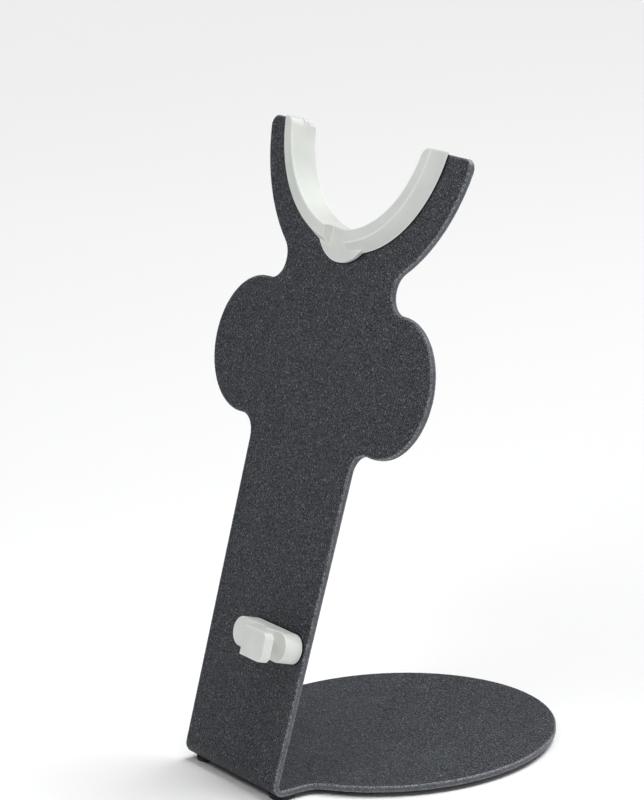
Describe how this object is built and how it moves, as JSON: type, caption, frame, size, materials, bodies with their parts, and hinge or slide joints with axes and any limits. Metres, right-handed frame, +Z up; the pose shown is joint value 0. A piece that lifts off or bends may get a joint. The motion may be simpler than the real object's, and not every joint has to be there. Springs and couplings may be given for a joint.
{
  "type": "hair dryer holder",
  "caption": "Leaning bent-sheet hair dryer holder with a round base, a lined U-shaped cradle, round side ears for magnetic nozzles and a cord clip.",
  "frame": {"origin": "middle of the footprint's bounding box, on the surface that the feet stand on", "axes": "+Z up, +Y to the back, where the round base is; +X to the right for someone facing the holder's front"},
  "size_m": [0.15, 0.1454, 0.2483],
  "materials": {
    "powder_coat": "fine-textured charcoal powder coat with light specks",
    "liner": "satin light-grey silicone",
    "clip": "satin off-white moulded plastic",
    "foot_rubber": "matt black",
    "adhesive": "grey acrylic adhesive film",
    "screw_steel": "zinc plated"
  },
  "bodies": {
    "root": {"stand_plate": "powder_coat", "cradle_liner": "liner", "cord_clip": "clip", "clip_screws": "screw_steel", "foot_adhesive_discs": "adhesive", "foot_front_left": "foot_rubber", "foot_front_right": "foot_rubber", "foot_side_left": "foot_rubber", "foot_side_right": "foot_rubber", "foot_rear": "foot_rubber"}
  },
  "joints": []
}
